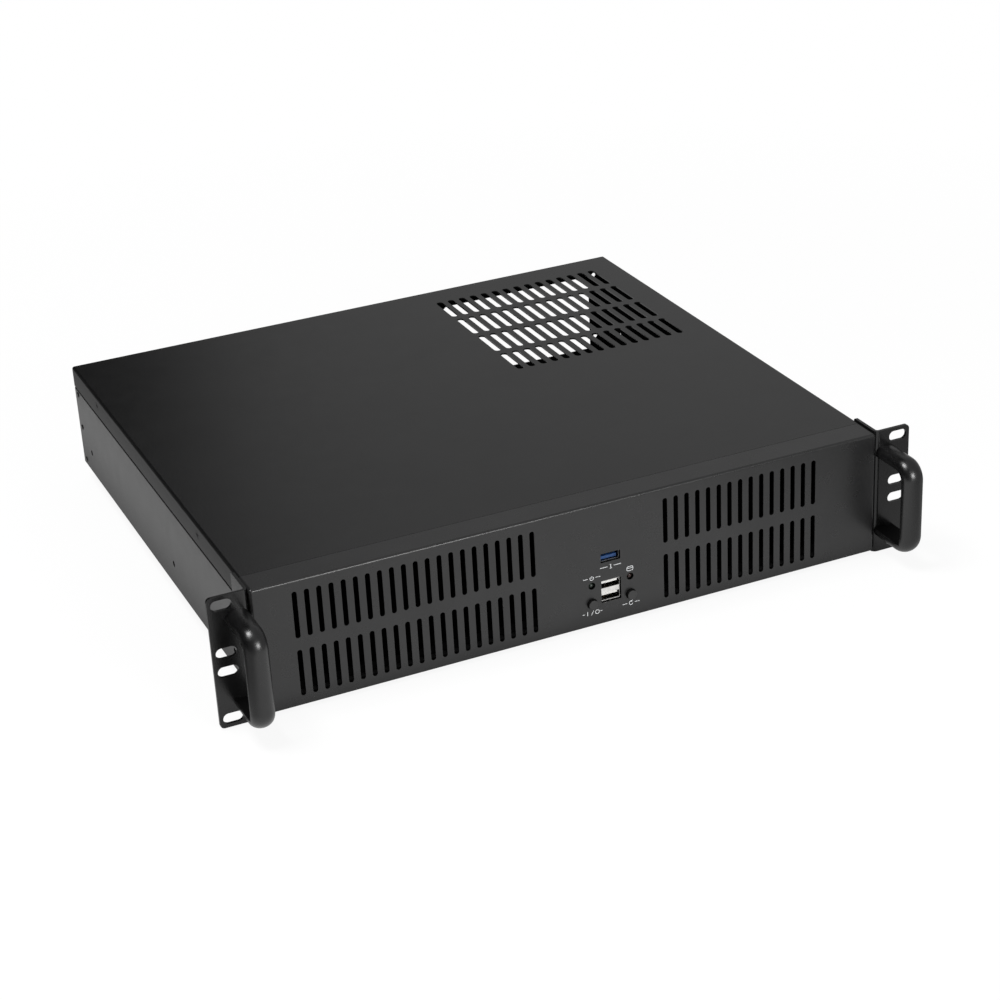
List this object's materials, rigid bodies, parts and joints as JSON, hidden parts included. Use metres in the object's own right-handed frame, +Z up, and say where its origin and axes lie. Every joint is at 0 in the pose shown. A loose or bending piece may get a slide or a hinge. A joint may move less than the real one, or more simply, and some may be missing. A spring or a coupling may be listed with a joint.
{
  "type": "empty rackmount server case",
  "caption": "Low black steel rackmount computer case, empty, with slotted front, bow handles on the rack ears, front ports and a cover grille.",
  "frame": {"origin": "centre of the bounding box in X and Y, at its bottom face: the lower edge of the rack ears", "axes": "+X to the right seen from the front, +Y to the back of the case, +Z up; the front panel faces -Y"},
  "size_m": [0.4826, 0.426, 0.0881],
  "materials": {
    "powder_coat": "fine satin black powder coat",
    "bezel_coat": "fine satin black powder coat on the bezel",
    "handle_plastic": "glossy black moulded plastic",
    "black_screws": "blackened steel",
    "zinc_steel": "bright zinc-plated steel",
    "brass_nickel": "nickel-plated brass",
    "usb_metal": "bright nickel-plated shell",
    "blue_plastic": "blue moulded insulator",
    "white_plastic": "white moulded insulator",
    "button_plastic": "black moulded plastic",
    "switch_plastic": "black moulded switch body",
    "lamp_green": "clear green-tinted lamp",
    "lamp_red": "clear red-tinted lamp",
    "board": "green coated glass-fibre board"
  },
  "bodies": {
    "case": {"chassis_base": "powder_coat", "top_cover": "powder_coat", "rear_panel": "powder_coat", "front_wall": "powder_coat", "front_bezel": "bezel_coat", "rack_ear_right": "powder_coat", "rack_ear_left": "powder_coat", "handle_right": "handle_plastic", "handle_left": "handle_plastic", "handle_screws": "black_screws", "ear_screws": "black_screws", "cover_screws": "black_screws", "wall_rivets": "black_screws", "slot_cover_1": "powder_coat", "slot_cover_2": "powder_coat", "slot_cover_3": "powder_coat", "slot_cover_4": "powder_coat", "slot_screws": "zinc_steel", "port_board": "board", "port_board_posts": "brass_nickel", "port_board_screws": "zinc_steel", "usb3_shell": "usb_metal", "usb3_insert": "blue_plastic", "usb2_shell": "usb_metal", "usb2_inserts": "white_plastic", "power_lamp": "lamp_green", "drive_lamp": "lamp_red", "lamp_spacers": "switch_plastic", "power_switch": "switch_plastic", "reset_switch": "switch_plastic", "board_standoffs": "brass_nickel", "drive_cage": "powder_coat", "psu_rest": "powder_coat", "floor_screws": "zinc_steel"},
    "power_button": {"power_button": "button_plastic"},
    "reset_button": {"reset_button": "button_plastic"}
  },
  "joints": [
    {"name": "power_press", "type": "slide", "parent": "case", "child": "power_button", "axis": [0, 1, 0], "range_m": [0, 0.0008], "stiffness_N_per_m": 250},
    {"name": "reset_press", "type": "slide", "parent": "case", "child": "reset_button", "axis": [0, 1, 0], "range_m": [0, 0.0008], "stiffness_N_per_m": 250}
  ]
}
